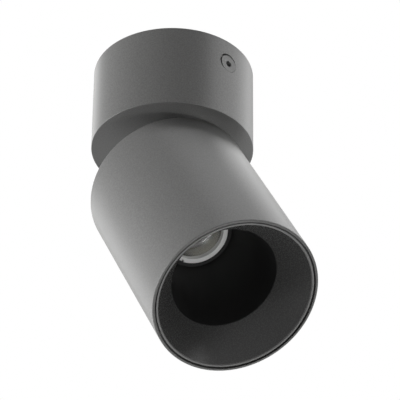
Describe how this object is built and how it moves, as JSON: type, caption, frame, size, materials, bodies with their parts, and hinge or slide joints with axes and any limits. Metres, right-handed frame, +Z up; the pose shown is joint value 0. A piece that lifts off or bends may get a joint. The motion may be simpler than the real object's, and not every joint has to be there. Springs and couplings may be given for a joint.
{
  "type": "surface mounted ceiling spotlight",
  "caption": "Round surface mounted ceiling spotlight: a cylindrical canopy holds a cylindrical head of the same width on a stem that swivels and tilts.",
  "frame": {"origin": "centre of the ceiling plate's upper face, the plane of the ceiling", "axes": "+Z up into the ceiling, +X the way the head leans at rest, the tilt axis along Y"},
  "size_m": [0.125, 0.08, 0.1768],
  "materials": {
    "powder_coat": "fine matt grey powder coat on aluminium",
    "zinc_steel": "zinc plated steel, satin",
    "spring_steel": "plain steel, satin",
    "bare_aluminium": "bare turned aluminium",
    "brass": "plain brass",
    "nylon": "natural nylon, matt",
    "black_plastic": "deep matt black plastic",
    "rubber": "black rubber",
    "circuit_board": "green circuit board",
    "thermal_pad": "soft silicone pad",
    "ceramic": "white ceramic board",
    "phosphor": "yellow phosphor under clear silicone",
    "mirror_finish": "vacuum metallised bowl",
    "clear_glass": "clear glass",
    "ring_silver": "pale satin aluminium"
  },
  "bodies": {
    "canopy": {"ceiling_plate": "zinc_steel", "plate_grommet": "rubber", "canopy_shell": "powder_coat", "canopy_screws": "powder_coat", "terminal_block": "nylon", "terminal_screws": "zinc_steel", "terminal_fixing_screw": "zinc_steel", "earth_screw": "brass", "driver_bridge": "zinc_steel", "bridge_screws": "zinc_steel", "driver_case": "nylon", "driver_lid": "nylon", "driver_board": "circuit_board", "driver_screws": "zinc_steel", "stop_pin": "spring_steel"},
    "swivel": {"swivel_stem": "powder_coat", "outer_washer": "nylon", "inner_washer": "nylon", "spring_washer": "spring_steel", "stop_washer": "zinc_steel", "swivel_nut": "zinc_steel"},
    "head": {"head_tube": "powder_coat", "heat_sink": "bare_aluminium", "heat_sink_screws": "powder_coat", "tilt_bracket": "spring_steel", "bracket_screws": "zinc_steel", "friction_washers": "nylon", "tilt_screw": "zinc_steel", "tilt_nut": "zinc_steel", "wire_grommet": "rubber", "thermal_pad": "thermal_pad", "led_board": "ceramic", "led_emitter": "phosphor", "led_holder": "nylon", "holder_screws": "zinc_steel", "optic_barrel": "black_plastic", "barrel_screws": "zinc_steel", "reflector": "mirror_finish", "lens": "clear_glass", "lens_ring": "ring_silver", "baffle": "black_plastic", "baffle_seal": "rubber", "antiglare_cone": "powder_coat"}
  },
  "joints": [
    {"name": "swivel", "type": "hinge", "parent": "canopy", "child": "swivel", "pos_m": [0, 0, -0.0456], "axis": [0, 0, 1], "range_deg": [-165, 165]},
    {"name": "tilt", "type": "hinge", "parent": "swivel", "child": "head", "pos_m": [0, 0, -0.0717], "axis": [0, -1, 0], "range_deg": [-63, 1]}
  ]
}
